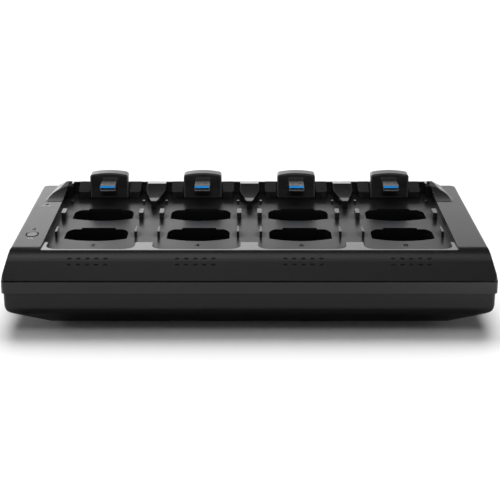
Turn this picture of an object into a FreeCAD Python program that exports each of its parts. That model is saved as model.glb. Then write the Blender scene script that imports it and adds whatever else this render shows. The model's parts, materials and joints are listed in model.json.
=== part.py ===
# Eight-bay docking charger for body-worn radio packs, as separate moulded, metal and electronic pieces.
# Millimetres. +X is to the right seen from the front, +Y to the back, +Z up.
# The origin is the middle of the footprint, on the surface that the rubber feet stand on.
import FreeCAD, Part

import math
import os
from types import SimpleNamespace

import Sketcher
from FreeCAD import Placement, Rotation, Vector

SIZES = {
    # whole case
    "case_width": 345, "case_depth": 184, "skin": 2.5, "touch_gap": 0.1,
    # levels above the table
    "feet_top": 2, "shell_top": 26.8, "band_low": 27.2, "band_top": 36.4, "cover_low": 36.8,
    "deck_low": 45, "deck_top": 47.5, "flange_top": 53, "crest_top": 57.2, "arm_top": 68.7,
    # lower shell: flat base, then one sloping facet on each side up into the wall
    "shell_inset_x": 1.2, "shell_inset_y": 1, "base_half_x": 140, "base_half_y": 79,
    "facet_rise_x": 0.396, "facet_rise_y": 0.936, "facet_round": 8,
    "rim_half_x": 169.3, "rim_half_y": 88.7, "rim_thick": 2.4, "corner_round": 4, "rim_round": 2.5,
    # feet and screws
    "foot_radius": 8, "foot_x": 118, "foot_y": 56, "foot_recess": 0.8,
    "screw_x": 158, "screw_y": 72, "screw_radius": 1.5, "screw_drive_radius": 1.2,
    "screw_head_radius": 2.8, "screw_head_low": 6.5, "screw_head_top": 8.7, "screw_reach": 12,
    "sleeve_radius": 4.2, "post_radius": 3.6, "post_low": 11, "corner_lift": 6, "corner_sleeve_low": 11,
    # upper cover
    "cover_half_low": 172.2, "cover_half_top": 168.5, "cover_back_low": 91.7, "cover_back_top": 91.3,
    "slope_top_y": -74, "slope_low_y": -91.8, "slope_bend": 22,
    "opening_half": 147.3, "opening_front": -71.5, "opening_back": 88.2, "opening_round": 2,
    "lip_thick": 2, "rim_ease": 1.2,
    # deck and bays
    "bay_pitch": 75.25, "bay_half": 31.2, "bay_front": -68.5, "bay_corner": 9, "rail_back": -51,
    "rail_front_top": 52.3, "rail_back_top": 51.5, "rail_ease": 0.35,
    "pocket_half": 23, "pocket_front": -37, "pocket_pitch": 48.6, "pocket_front_radius": 49.8,
    "pocket_side_back": 27.8, "pocket_turn": 9.5, "pocket_turn_radius": 12, "notch_back": 31.2,
    "notch_half": 12.9, "notch_round": 1.5, "pocket_floor": 14, "floor_thick": 1.5, "liner_wall": 1.3,
    "liner_flange": 1.8, "flange_thick": 1.5,
    "fin_x": 29.2, "fin_front": -27.6, "fin_back": -15, "fin_half": 1, "fin_back_half": 0.5,
    "fin_top": 51.8, "post_x": 29.75, "post_front": 16.5, "post_back": 28, "post_half": 1.7, "post_top": 52.4,
    "stud_x": 28.6, "stud_front": 58.5, "stud_back": 61.5, "stud_half": 1, "stud_top": 49.4,
    # rear bridge: the raised back rail with a web between neighbouring bays
    "bridge_front": 44, "bridge_front_top": 53.2, "bridge_hollow_radius": 237, "crest_y": 81.5,
    "crest_back_top": 56.5, "bridge_back": 90.6,
    "wing_half": 159.1, "wing_bend_y": 52, "wing_radius": 34, "wing_neck_y": 76, "web_foot_half": 1.8,
    "web_top_half": 7.45, "web_bend_y": 68, "web_bend_radius": 30, "wing_meet_y": 80, "wing_gap": 0.4,
    "shoulder_brow": 149.5, "shoulder_toe": 156.5, "shoulder_inner": 135,
    # hinged connector arms
    "arm_half": 14.2, "arm_front": 71.8, "arm_plate": 4.2, "arm_low": 48, "arm_side_top": 65.6,
    "arm_crown_top": 67.3, "arm_round": 1.3, "arm_back": 83.6, "arm_web_low": 48,
    "cap_half": 15.2, "cap_side_top": 67, "cap_leg_low": 48.4, "cap_leg_back": 75.6, "cap_low": 51.8,
    "cap_skin": 0.95, "cap_back_round": 2.5,
    "hinge_y": 78, "hinge_z": 50, "knuckle_radius": 3.6, "pin_radius": 1.25, "pin_clearance": 0.1,
    "pin_half": 21, "spring_half": 3.6, "spring_room": 0.4, "spring_coil": 2.3, "spring_wire": 0.35,
    "bracket_half": 25, "bracket_front": 72.5, "bracket_back": 88.1, "bracket_low": 41,
    "bracket_brow": 52.8, "bracket_top": 57.1, "bracket_round": 1.6, "bracket_floor": 43.6,
    "slot_half": 16, "block_outer": 21.2, "block_front": 72.3, "block_back": 81.2, "block_low": 47.6,
    "block_top": 52,
    # connector on each arm, to the usual sizes of a type A plug
    "plug_width": 12, "plug_height": 4.5, "plug_skin": 0.35, "plug_z": 59.5, "plug_tip": 59.6,
    "plug_root": 80, "latch_hole": 2.2, "latch_x": 2.8, "latch_from_tip": 4.6, "latch_seat": 1.2,
    "tongue_thick": 1.84,
    # indicator slots on the front slope
    "slot_pitch": 6.3, "slot_width": 2.6, "slot_height": 1.4, "slot_row_one": 6.4, "slot_row_two": 11.4,
    "guide_bar": 1.2, "guide_bar_gap": 0.3, "guide_bar_up": 0.8, "guide_bar_down": 1.6,
    "led_gap": 1.5, "led_width": 1.6, "led_height": 0.8, "led_board_thick": 1.2, "led_board_up": 1.2,
    "led_board_down": 2.5, "led_board_end": 30, "led_peg_x": 22, "led_peg_half": 2,
    # power button and flange lights
    "button_x": -157.7, "button_y": -38, "button_width": 7.4, "button_length": 10.4,
    "button_gap": 0.9, "button_top": 53.2, "button_travel": 0.7, "button_collar": 1.6,
    "collar_gap": 0.15, "collar_thick": 1, "stem_radius": 1.5, "stem_drop": 1.8,
    "button_board_drop": 3, "button_board_thick": 1.2, "button_board_left": 6, "button_board_right": 5.5,
    "button_board_front": 12, "button_board_back": 18.8, "button_peg_front": 9, "button_peg_back": 16.3,
    "button_peg_radius": 1.6, "switch_half": 3, "switch_height": 3.8, "plunger_radius": 1.4,
    "light_x": -157.9, "power_light_y": -26, "network_light_y": 36.4, "light_radius": 1.3,
    "light_drop": 0.5,
    # boards and sockets
    "board_low": 9.6, "board_thick": 1.6, "board_half_x": 136, "board_front": -50, "board_back": 52,
    "board_post_radius": 3, "board_hole_radius": 1.4, "board_screw_radius": 1.1, "board_screw_reach": 5,
    "board_head_radius": 2.4, "board_head_height": 1.6, "io_board_left": 38, "io_board_right": 112,
    "io_board_front": 54, "io_board_back": 82.5, "header_left": 52, "header_right": 86,
    "header_front": 48.4, "header_back": 56.4, "header_depth": 3.2, "header_height": 4,
    "ribbon_inset": 1, "ribbon_lap": 0.5, "ribbon_thick": 0.8,
    "jack_x": 62, "jack_width": 16, "jack_height": 13.4, "jack_depth": 21, "jack_mouth_width": 11.8,
    "jack_mouth_height": 8.2, "jack_mouth_depth": 14, "jack_mouth_lift": 3.2, "jack_key_lift": 1.2,
    "jack_key_half": 3.2, "jack_wire_half": 0.2, "jack_wire_deep": 10, "jack_wire_shallow": 4,
    "jack_wire_drop": 0.5, "inlet_x": 92, "inlet_width": 9,
    "inlet_height": 11, "inlet_depth": 14, "inlet_radius": 2.8, "inlet_pin_radius": 1.05,
    "inlet_bore_depth": 9.5, "inlet_pin_set_back": 0.8, "socket_back": 90.6,
}
BAYS = (0, 1, 2, 3)
ROWS = (0, 1)
RIM_STEPS = 3  # flats that ease the edge of the cover's rim


class Size:
    """A number that carries the sheet formula it comes from, so that features can be bound to it."""

    def __init__(self, number, formula):
        self.number = number
        self.formula = formula

    def __add__(self, other):
        other = as_size(other)
        return Size(self.number + other.number, f"({self.formula} + {other.formula})")

    def __sub__(self, other):
        other = as_size(other)
        return Size(self.number - other.number, f"({self.formula} - {other.formula})")

    def __mul__(self, other):
        other = as_size(other)
        return Size(self.number * other.number, f"({self.formula} * {other.formula})")

    def __truediv__(self, other):
        other = as_size(other)
        return Size(self.number / other.number, f"({self.formula} / {other.formula})")

    def __neg__(self):
        return Size(-self.number, f"(-1 * {self.formula})")

    __radd__ = __add__
    __rmul__ = __mul__

    def __rsub__(self, other):
        return as_size(other) - self


def as_size(value):
    return value if isinstance(value, Size) else Size(float(value), f"({float(value)})")


class Bend:
    """In an outline: the next point is reached along an arc; side +1 turns left, -1 turns right."""

    def __init__(self, radius, side):
        self.radius = as_size(radius)
        self.side = side


document = FreeCAD.newDocument("docking_charger")
sub_parts = []


def make_sheet():
    sheet = document.addObject("Spreadsheet::Sheet", "Sizes")
    for row, (alias, value) in enumerate(SIZES.items(), start=1):
        sheet.set(f"A{row}", alias)
        sheet.set(f"B{row}", str(value))
        sheet.setAlias(f"B{row}", alias)
    document.recompute()
    return SimpleNamespace(**{alias: Size(value, f"Sizes.{alias}") for alias, value in SIZES.items()})


size = make_sheet()
slope_fall = size.flange_top - size.cover_low
slope_run = size.slope_top_y - size.slope_low_y
slope_angle = Size(
    math.degrees(math.atan2(slope_fall.number, slope_run.number)),
    f"atan({slope_fall.formula} / {slope_run.formula})",
)


# ---------------------------------------------------------------- building blocks

def bind(thing, path, value):
    thing.setExpression(path, as_size(value).formula)


def arc_between(start, end, bend):
    """Arc of the given radius from one point to another, and whether it runs anticlockwise."""
    chord = end - start
    lift = math.sqrt(bend.radius.number ** 2 - (chord.Length / 2) ** 2)
    left = Vector(-chord.y, chord.x, 0).normalize()
    centre = (start + end) / 2 + left * lift * bend.side
    angles = [math.atan2(point.y - centre.y, point.x - centre.x) for point in (start, end)]
    if bend.side < 0:
        angles.reverse()
    if angles[1] < angles[0]:
        angles[1] += 2 * math.pi
    circle = Part.Circle(centre, Vector(0, 0, 1), bend.radius.number)
    return Part.ArcOfCircle(circle, *angles)


def draw(body, role, name, outline, offset):
    """Closed, fully constrained sketch through the outline's points, on an origin plane of the body."""
    sketch = body.newObject("Sketcher::SketchObject", name)
    plane = next(item for item in body.Origin.OriginFeatures if item.Role == role)
    sketch.AttachmentSupport = (plane, [""])
    sketch.MapMode = "FlatFace"
    bind(sketch, "AttachmentOffset.Base.z", offset)
    points, bends = [], {}
    for item in outline:
        if isinstance(item, Bend):
            bends[len(points) - 1] = item
        else:
            points.append((as_size(item[0]), as_size(item[1])))
    ends = []
    for index, (across, up) in enumerate(points):
        following = points[(index + 1) % len(points)]
        start = Vector(across.number, up.number, 0)
        end = Vector(following[0].number, following[1].number, 0)
        bend = bends.get(index)
        sketch.addGeometry(arc_between(start, end, bend) if bend else Part.LineSegment(start, end), False)
        ends.append((2, 1) if bend and bend.side < 0 else (1, 2))
    for index, (across, up) in enumerate(points):
        following = (index + 1) % len(points)
        sketch.addConstraint(
            Sketcher.Constraint("Coincident", index, ends[index][1], following, ends[following][0]))
        for kind, value in (("DistanceX", across), ("DistanceY", up)):
            number = sketch.addConstraint(
                Sketcher.Constraint(kind, -1, 1, index, ends[index][0], value.number))
            bind(sketch, f"Constraints[{number}]", value)
        if index in bends:
            number = sketch.addConstraint(Sketcher.Constraint("Radius", index, bends[index].radius.number))
            bind(sketch, f"Constraints[{number}]", bends[index].radius)
    return sketch


# plane to sketch on for a prism along each axis, and whether its normal points along that axis
PLANES = {"X": ("YZ_Plane", True), "Y": ("XZ_Plane", False), "Z": ("XY_Plane", True)}


def prism(name, axis, outline, low, high):
    """Body with one pad from low to high along an axis; the outline gives the other two axes in order."""
    low, high = as_size(low), as_size(high)
    role, forward = PLANES[axis]
    body = document.addObject("PartDesign::Body", name)
    feature_sketch = draw(body, role, name + "_outline", outline, low if forward else -high)
    feature = body.newObject("PartDesign::Pad", name + "_pad")
    feature.Profile = feature_sketch
    bind(feature, "Length", high - low)
    return body


def pocket(body, axis, outline, low, high):
    """Cuts a prism from low to high out of the body, and makes sure that it did cut."""
    low, high = as_size(low), as_size(high)
    role, forward = PLANES[axis]
    document.recompute()
    before = body.Tip.Shape.Volume
    number = len(body.Group)
    outline_sketch = draw(body, role, f"{body.Name}_cut_{number}", outline, high if forward else -low)
    feature = body.newObject("PartDesign::Pocket", f"{body.Name}_pocket_{number}")
    feature.Profile = outline_sketch
    bind(feature, "Length", high - low)
    document.recompute()
    if feature.Shape.Volume >= before:
        raise RuntimeError(f"{feature.Name} cuts nothing")
    return feature


def pattern(body, feature, counts, pitches):
    """Repeats a feature along the body's X axis and, with a second count, along its Y axis."""
    repeat = body.newObject("PartDesign::LinearPattern", feature.Name + "_row")
    repeat.Originals = [feature]
    axes = {item.Role: item for item in body.Origin.OriginFeatures}
    repeat.Direction = (axes["X_Axis"], [""])
    repeat.Mode = "Spacing"
    repeat.Occurrences = counts[0]
    bind(repeat, "Offset", pitches[0])
    if len(counts) > 1:
        repeat.Direction2 = (axes["Y_Axis"], [""])
        repeat.Mode2 = "Spacing"
        repeat.Occurrences2 = counts[1]
        bind(repeat, "Offset2", pitches[1])
    body.Tip = repeat
    return repeat


def round_edges(body, radius, wanted, kind="PartDesign::Fillet"):
    """Rounds (or chamfers) the edges of the body's tip for which wanted(edge) is true."""
    document.recompute()
    base = body.Tip
    names = [f"Edge{number}" for number, edge in enumerate(base.Shape.Edges, start=1) if wanted(edge)]
    if not names:
        raise RuntimeError(f"no edge to round on {body.Name}")
    feature = body.newObject(kind, f"{body.Name}_edges_{len(body.Group)}")
    feature.Base = (base, names)
    bind(feature, "Radius" if kind.endswith("Fillet") else "Size", radius)
    return feature


def runs_along(axis):
    """Test for straight edges parallel to an axis."""
    direction = {"X": Vector(1, 0, 0), "Y": Vector(0, 1, 0), "Z": Vector(0, 0, 1)}[axis]

    def test(edge):
        straight = edge.Curve.TypeId == "Part::GeomLine"
        return straight and abs(edge.tangentAt(edge.FirstParameter).dot(direction)) > 0.999
    return test


def at_level(level):
    """Test for edges that lie whole at one height."""
    height = as_size(level).number

    def test(edge):
        return all(abs(z - height) < 0.01 for z in (edge.BoundBox.ZMin, edge.BoundBox.ZMax))
    return test


def rectangle(x_low, x_high, y_low, y_high):
    return [(x_low, y_low), (x_high, y_low), (x_high, y_high), (x_low, y_high)]


def rounded_rectangle(x_low, x_high, y_low, y_high, radius):
    outline = []
    for before, after in (
            ((x_low, y_low + radius), (x_low + radius, y_low)),
            ((x_high - radius, y_low), (x_high, y_low + radius)),
            ((x_high, y_high - radius), (x_high - radius, y_high)),
            ((x_low + radius, y_high), (x_low, y_high - radius))):
        outline += [before, Bend(radius, 1), after]
    return outline


def box(name, x, y, z):
    """Part::Box from (low, high) pairs."""
    solid = document.addObject("Part::Box", name)
    for (low, high), length, place in ((x, "Length", "x"), (y, "Width", "y"), (z, "Height", "z")):
        bind(solid, length, as_size(high) - low)
        bind(solid, f"Placement.Base.{place}", low)
    return solid


AXIS_TURN = {
    "X": Rotation(Vector(0, 1, 0), 90),
    "Y": Rotation(Vector(1, 0, 0), -90),
    "Z": Rotation(),
}


def rod(name, axis, radius, start, length):
    """Part::Cylinder from a start point along an axis."""
    solid = document.addObject("Part::Cylinder", name)
    solid.Placement = Placement(Vector(), AXIS_TURN[axis])
    for place, value in zip("xyz", start):
        bind(solid, f"Placement.Base.{place}", value)
    bind(solid, "Radius", radius)
    bind(solid, "Height", length)
    return solid


def joined(name, pieces):
    solid = document.addObject("Part::MultiFuse", name)
    solid.Shapes = list(pieces)
    solid.Refine = True
    return solid


def grouped(name, pieces):
    solid = document.addObject("Part::Compound", name)
    solid.Links = list(pieces)
    return solid


def cut(name, base, tools):
    solid = document.addObject("Part::Cut", name)
    solid.Base = base
    solid.Tool = tools[0] if len(tools) == 1 else grouped(name + "_tools", tools)
    solid.Refine = True
    return solid


def shared(name, first, second):
    solid = document.addObject("Part::Common", name)
    solid.Base = first
    solid.Tool = second
    solid.Refine = True
    return solid


def publish(solid, label):
    """Names a finished piece and puts it on the list that is written out."""
    solid.Label = label
    sub_parts.append(solid)
    return solid


def lay_on_slope(solid):
    """Turns a piece drawn flat about the origin onto the front slope: its Y runs up the slope."""
    solid.Placement = Placement(Vector(), Rotation(Vector(1, 0, 0), slope_angle.number))
    bind(solid, "Placement.Base.y", size.slope_top_y)
    bind(solid, "Placement.Base.z", size.flange_top)
    bind(solid, "Placement.Rotation.Angle", slope_angle)
    return solid


def bay_x(bay):
    """Middle of a bay across the case."""
    return size.bay_pitch * (bay - 1.5)


# ---------------------------------------------------------------- lower shell and band

def hull_block(name, inset):
    """Solid outline of the lower shell, moved inwards by inset on every side."""
    low = size.feet_top + inset
    half_x = size.case_width / 2 - size.shell_inset_x - inset
    half_y = size.case_depth / 2 - size.shell_inset_y - inset
    flat_x = size.base_half_x - inset / 4
    flat_y = size.base_half_y - inset / 2
    plan = prism(name + "_plan", "Z", rectangle(-half_x, half_x, -half_y, half_y), low, size.shell_top)
    round_edges(plan, size.corner_round - inset / 2, runs_along("Z"))
    blocks = []
    for axis, half, flat, rise in (
            ("X", half_y, flat_y, size.facet_rise_y), ("Y", half_x, flat_x, size.facet_rise_x)):
        knee = low + (half - flat) * rise
        outline = [(-flat, low), (flat, low), (half, knee), (half, size.shell_top + 1),
                   (-half, size.shell_top + 1), (-half, knee)]
        length = (half_x if axis == "X" else half_y) + 1
        block = prism(f"{name}_{axis}", axis, outline, -length, length)
        knee_level = knee.number

        def at_knee(edge, axis=axis, level=knee_level):
            return runs_along(axis)(edge) and abs(edge.CenterOfMass.z - level) < 0.01
        round_edges(block, size.facet_round - inset, at_knee)
        blocks.append(block)
    return shared(name, plan, shared(name + "_facets", *blocks))


def rim_ring(name, half_x, half_y, thick, corner, low, high):
    """Upright ring with rounded corners."""
    ring = prism(name, "Z", rectangle(-half_x, half_x, -half_y, half_y), low, high)
    round_edges(ring, corner, runs_along("Z"))
    pocket(ring, "Z", rectangle(thick - half_x, half_x - thick, thick - half_y, half_y - thick), low, high)
    return ring


def screw_places():
    """X, Y and height above the lowest screws: corners reach the cover, the middle row the deck tray."""
    corners = [(sx * size.screw_x, sy * size.screw_y, size.corner_lift) for sx in (-1, 1) for sy in (-1, 1)]
    middle = [(size.bay_pitch * n, as_size(0), as_size(0)) for n in (-1, 0, 1)]
    return corners, middle


def foot_places():
    return [(sx * size.foot_x, sy * size.foot_y) for sx in (-1, 1) for sy in (-1, 1)]


BOARD_POSTS = [(-128, -44), (-40, -44), (40, -44), (128, -44), (-128, 47), (-40, 47), (40, 47), (128, 47)]
IO_POSTS = [(46, 60), (104, 60)]


def make_bottom_shell():
    solids = [
        cut("hull_skin", hull_block("hull_outside", as_size(0)), [hull_block("hull_inside", size.skin)]),
        rim_ring("spigot", size.rim_half_x, size.rim_half_y, size.rim_thick, size.rim_round,
                 size.shell_top - 2.5, size.cover_low),
    ]
    corners, middle = screw_places()
    holes = []
    for number, (x, y, lift) in enumerate(corners + middle):
        low = size.corner_sleeve_low if lift.number else size.feet_top + size.skin
        solids.append(rod(f"sleeve_{number}", "Z", size.sleeve_radius, (x, y, low),
                          size.post_low + lift - low))
        holes.append(rod(f"screw_way_{number}", "Z", size.screw_radius + 0.2, (x, y, 0),
                         size.post_low + lift + 1))
        holes.append(rod(f"head_way_{number}", "Z", size.screw_head_radius + 0.4, (x, y, 0),
                         size.screw_head_top + lift))
    for number, (x, y) in enumerate(BOARD_POSTS + IO_POSTS):
        floor = size.feet_top + size.skin / 2
        solids.append(rod(f"board_post_{number}", "Z", size.board_post_radius, (x, y, floor),
                          size.board_low - floor))
        holes.append(rod(f"board_bore_{number}", "Z", size.board_screw_radius, (x, y, floor + 2),
                         size.board_low))
    for number, (x, y) in enumerate(foot_places()):
        holes.append(rod(f"foot_way_{number}", "Z", size.foot_radius, (x, y, 0),
                         size.feet_top + size.foot_recess))
    back = size.case_depth / 2
    base = size.board_low + size.board_thick
    holes.append(box("jack_way", (size.jack_x - size.jack_width / 2, size.jack_x + size.jack_width / 2),
                     (back - 8, back + 1), (base, base + size.jack_height)))
    inlet_half = size.inlet_width / 2
    holes.append(box("inlet_way", (size.inlet_x - inlet_half, size.inlet_x + inlet_half),
                     (back - 8, back + 1), (base, base + size.inlet_height)))
    publish(cut("bottom_shell_solid", joined("bottom_shell_skin", solids), holes), "bottom_shell")


def make_side_band():
    half_x, half_y = size.case_width / 2, size.case_depth / 2
    band = prism("side_band_ring", "Z", rectangle(-half_x, half_x, -half_y, half_y),
                 size.band_low, size.band_top)
    round_edges(band, size.corner_round, runs_along("Z"))
    round_edges(band, 0.5, at_level(size.band_top), "PartDesign::Chamfer")
    inner_x, inner_y = size.rim_half_x, size.rim_half_y
    hole = prism("side_band_hole", "Z", rectangle(-inner_x, inner_x, -inner_y, inner_y),
                 size.band_low - 1, size.band_top + 1)
    round_edges(hole, size.rim_round, runs_along("Z"))
    publish(cut("side_band_solid", band, [hole]), "side_band")


def make_feet():
    feet = [rod(f"foot_{number}", "Z", size.foot_radius, (x, y, 0), size.feet_top + size.foot_recess)
            for number, (x, y) in enumerate(foot_places())]
    publish(grouped("feet", feet), "rubber_feet")


# ---------------------------------------------------------------- upper cover

def cover_block(name, inset):
    """Outside of the cover, moved inwards by inset: drafted sides, an eased rim and a sloping front."""
    body = document.addObject("PartDesign::Body", name)
    low, high = size.cover_low, size.flange_top - inset
    ease = size.rim_ease
    levels = [(low, size.cover_half_low, size.cover_back_low),
              (high - ease, size.cover_half_top, size.cover_back_top)]
    for step in range(1, RIM_STEPS + 1):
        turn = math.radians(90 * step / RIM_STEPS)
        drawn_in = ease * (1 - math.cos(turn))
        levels.append((high - ease * (1 - math.sin(turn)), size.cover_half_top - drawn_in,
                       size.cover_back_top - drawn_in))
    sections = []
    for level, half, back in levels:
        outline = rounded_rectangle(inset - half, half - inset, size.slope_low_y, back - inset,
                                    size.corner_round - inset / 2)
        sections.append(draw(body, "XY_Plane", f"{name}_section_{len(sections)}", outline, level))
    loft = body.newObject("PartDesign::AdditiveLoft", name + "_loft")
    loft.Profile = sections[0]
    loft.Sections = sections[1:]
    loft.Ruled = True
    # the slope moves in by the inset measured square to it
    shift = inset * math.sqrt(slope_run.number ** 2 + slope_fall.number ** 2) / slope_fall
    foot = size.slope_low_y + shift
    head = foot + slope_run * ((high - low) / slope_fall)
    half = size.case_width / 2 + 5
    away = head - size.case_depth / 2
    pocket(body, "X", [(foot, low), (head, high), (head, high + 5), (away, high + 5), (away, low)],
           -half, half)
    brow = Vector(0, head.number, high.number)

    def at_brow(edge):
        return runs_along("X")(edge) and (edge.CenterOfMass - brow).Length < 0.1
    round_edges(body, size.slope_bend - inset, at_brow)
    return body


def draw_in(radius, run):
    """How far an arc draws away from its tangent over a run along it."""
    return Size(radius.number - math.sqrt(radius.number ** 2 - run.number ** 2),
                f"({radius.formula} - sqrt({radius.formula}^2 - {run.formula}^2))")


def bridge_profile(front, foot):
    """Side view of the rear bridge: one long hollow slope up to the crest, which falls to the back."""
    return [(front, foot), (size.bridge_back, foot), (size.bridge_back, size.crest_back_top),
            (size.crest_y, size.crest_top), Bend(size.bridge_hollow_radius, -1),
            (front, size.bridge_front_top)]


def wing_reach(radius):
    """How far out the wing's end arc stands where it meets the crest."""
    rise = size.wing_meet_y - size.wing_bend_y
    return size.wing_half - size.wing_radius + radius - draw_in(radius, rise)


def make_shoulder(side):
    """Swelling of the cover that leads from the side flange up to the end of the rear bridge."""
    name = "left" if side < 0 else "right"
    body = document.addObject("PartDesign::Body", f"shoulder_{name}")
    foot = size.flange_top - 0.5
    sections = []
    for y, top, brow, toe in (
            (size.cover_back_top - 0.1, size.crest_back_top, size.shoulder_brow, size.shoulder_toe),
            (size.bridge_front + 1, size.flange_top + 0.05, size.wing_half + 1, size.wing_half + 2.4)):
        inner = side * size.shoulder_inner
        outline = [(inner, foot), (inner, top), (side * brow, top), (side * toe, size.flange_top),
                   (side * toe, foot)]
        sections.append(draw(body, "XZ_Plane", f"shoulder_{name}_{len(sections)}", outline, -y))
    loft = body.newObject("PartDesign::AdditiveLoft", f"shoulder_{name}_loft")
    loft.Profile = sections[0]
    loft.Sections = sections[1:]
    loft.Ruled = True
    radius = size.wing_radius + size.wing_gap
    edge = size.wing_half + size.wing_gap
    front, back = size.bridge_front, size.bridge_back + 2
    inner, tip = side * (size.shoulder_inner - 5), side * wing_reach(radius)
    clear = prism(f"wing_clear_{name}", "Z", [
        (inner, front - 1), (side * edge, front - 1), (side * edge, size.wing_bend_y), Bend(radius, side),
        (tip, size.wing_meet_y), (tip, back), (inner, back)], foot - 1, size.arm_top)
    return cut(f"shoulder_{name}_cut", body, [clear])


def indicator_boxes(name, bay, width, height, low, high):
    """Ten small blocks of one bay's indicator field, in the plane of the slope."""
    pieces = []
    for row, down in enumerate((size.slot_row_one, size.slot_row_two)):
        for column in range(-2, 3):
            x = bay_x(bay) + size.slot_pitch * column
            pieces.append(box(f"{name}_{bay}_{row}_{column + 2}", (x - width / 2, x + width / 2),
                              (-down - height / 2, -down + height / 2), (low, high)))
    return pieces


def led_depth():
    """How far the light chips' board lies behind the face of the slope."""
    return size.skin + size.guide_bar_gap + size.guide_bar + size.led_gap


def oval_plan(width, length):
    """Plan of the power button: straight sides between two round ends."""
    half = width / 2
    ends = length / 2 - half
    x, y = size.button_x, size.button_y
    return [(x - half, y - ends), Bend(half + 0.0001, 1), (x + half, y - ends), (x + half, y + ends),
            Bend(half + 0.0001, 1), (x - half, y + ends)]


def make_top_shell():
    outside = cover_block("cover_outside", as_size(0))
    inside = cover_block("cover_inside", size.skin)
    half, front, back = size.opening_half, size.opening_front, size.opening_back
    lip = prism("opening_lip", "Z", rectangle(-half - size.lip_thick, half + size.lip_thick,
                                              front - size.lip_thick, back + size.lip_thick),
                size.deck_top, size.flange_top - 2)
    opening = prism("opening", "Z", rectangle(-half, half, front, back), size.cover_low, size.arm_top)

    def front_corner(edge):
        return runs_along("Z")(edge) and edge.CenterOfMass.y < 0
    round_edges(opening, size.opening_round, front_corner)
    solids = [cut("cover_skin", outside, [inside]), lip]
    solids += [make_shoulder(side) for side in (-1, 1)]
    corners, _ = screw_places()
    ceiling = size.flange_top - size.skin / 2
    for number, (x, y, lift) in enumerate(corners):
        top = ceiling if y.number > 0 else size.flange_top - 5
        solids.append(rod(f"cover_post_{number}", "Z", size.post_radius, (x, y, size.post_low + lift),
                          top - size.post_low - lift))
    holes = [opening]
    holes += [rod(f"cover_bore_{number}", "Z", size.screw_radius, (x, y, 0),
                  size.post_low + lift + size.screw_reach) for number, (x, y, lift) in enumerate(corners)]
    slots = []
    for bay in BAYS:
        slots += indicator_boxes("slot", bay, size.slot_width, size.slot_height, as_size(-5), as_size(2))
    holes.append(lay_on_slope(grouped("slots", slots)))
    ring = size.button_width + 2 * size.button_gap
    holes.append(prism("button_way", "Z", oval_plan(ring, size.button_length + 2 * size.button_gap),
                       size.deck_top, size.flange_top + 3))
    for name, y in (("power", size.power_light_y), ("network", size.network_light_y)):
        holes.append(rod(f"{name}_light_way", "Z", size.light_radius, (size.light_x, y, size.deck_top), 10))
    # pegs that carry the two small boards under the cover
    for number, x in enumerate((-1.5, -0.5, 0.5, 1.5)):
        peg_x = size.bay_pitch * x + size.led_peg_x
        peg = box(f"led_peg_{number}", (peg_x - size.led_peg_half, peg_x + size.led_peg_half),
                  (-size.slot_row_two, -size.slot_row_one), (-led_depth(), -size.skin / 2))
        solids.append(lay_on_slope(grouped(f"led_peg_place_{number}", [peg])))
    board_top = size.deck_low - size.button_board_drop
    for number, y in enumerate((size.button_y - size.button_peg_front, size.button_y + size.button_peg_back)):
        solids.append(rod(f"button_peg_{number}", "Z", size.button_peg_radius, (size.button_x, y, board_top),
                          ceiling - board_top))
    publish(cut("top_shell_solid", joined("cover_body", solids), holes), "top_shell")


# ---------------------------------------------------------------- deck, rail and bridge

def pocket_outline(bay, row, grow):
    """Plan of a battery pocket: bowed front, straight sides that turn in at the back, a stepped back."""
    x = bay_x(bay)
    front = size.pocket_front + size.pocket_pitch * row
    half, notch = size.pocket_half + grow, size.notch_half + grow
    bow, turn = size.pocket_front_radius + grow, size.pocket_turn_radius + grow
    shoulder = front - grow + draw_in(bow, half)
    side_back, notch_back = front + size.pocket_side_back + grow, front + size.notch_back + grow
    turn_y = front + size.pocket_side_back - size.pocket_turn
    corner = half - draw_in(turn, size.pocket_turn + grow)
    return [(x - half, shoulder), Bend(bow, 1), (x + half, shoulder), (x + half, turn_y), Bend(turn, 1),
            (x + corner, side_back), (x + notch, side_back), (x + notch, notch_back),
            (x - notch, notch_back), (x - notch, side_back), (x - corner, side_back), Bend(turn, 1),
            (x - half, turn_y)]


def pocket_block(name, bay, row, grow, low, high):
    block = prism(f"{name}_{bay}_{row}", "Z", pocket_outline(bay, row, as_size(grow)), low, high)
    back = (size.pocket_front + size.pocket_pitch * row + size.notch_back + grow).number

    def notch_corner(edge):
        return runs_along("Z")(edge) and abs(edge.CenterOfMass.y - back) < 0.1
    round_edges(block, size.notch_round, notch_corner)
    return block


def make_deck_tray():
    half = size.opening_half + size.lip_thick
    plate = box("deck_plate", (-half, half), (size.opening_front - size.lip_thick / 2, size.opening_back),
                (size.deck_low, size.deck_top))
    solids, holes = [plate], []
    for bay in BAYS:
        low, high, x = size.deck_low - 1, size.deck_top + 1, bay_x(bay)
        holes += [pocket_block("deck_hole", bay, row, 0, low, high) for row in ROWS]
        holes.append(box(f"bracket_way_{bay}", (x - size.bracket_half, x + size.bracket_half),
                         (size.bracket_front, size.bracket_back + 1), (low, high)))
    _, middle_screws = screw_places()
    for number, (x, y, _) in enumerate(middle_screws):
        solids.append(rod(f"tray_post_{number}", "Z", size.post_radius, (x, y, size.post_low),
                          size.deck_low + 1 - size.post_low))
        holes.append(rod(f"tray_bore_{number}", "Z", size.screw_radius, (x, y, 0),
                         size.post_low + size.screw_reach))
    publish(cut("deck_tray_solid", joined("deck_body", solids), holes), "deck_tray")


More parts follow.
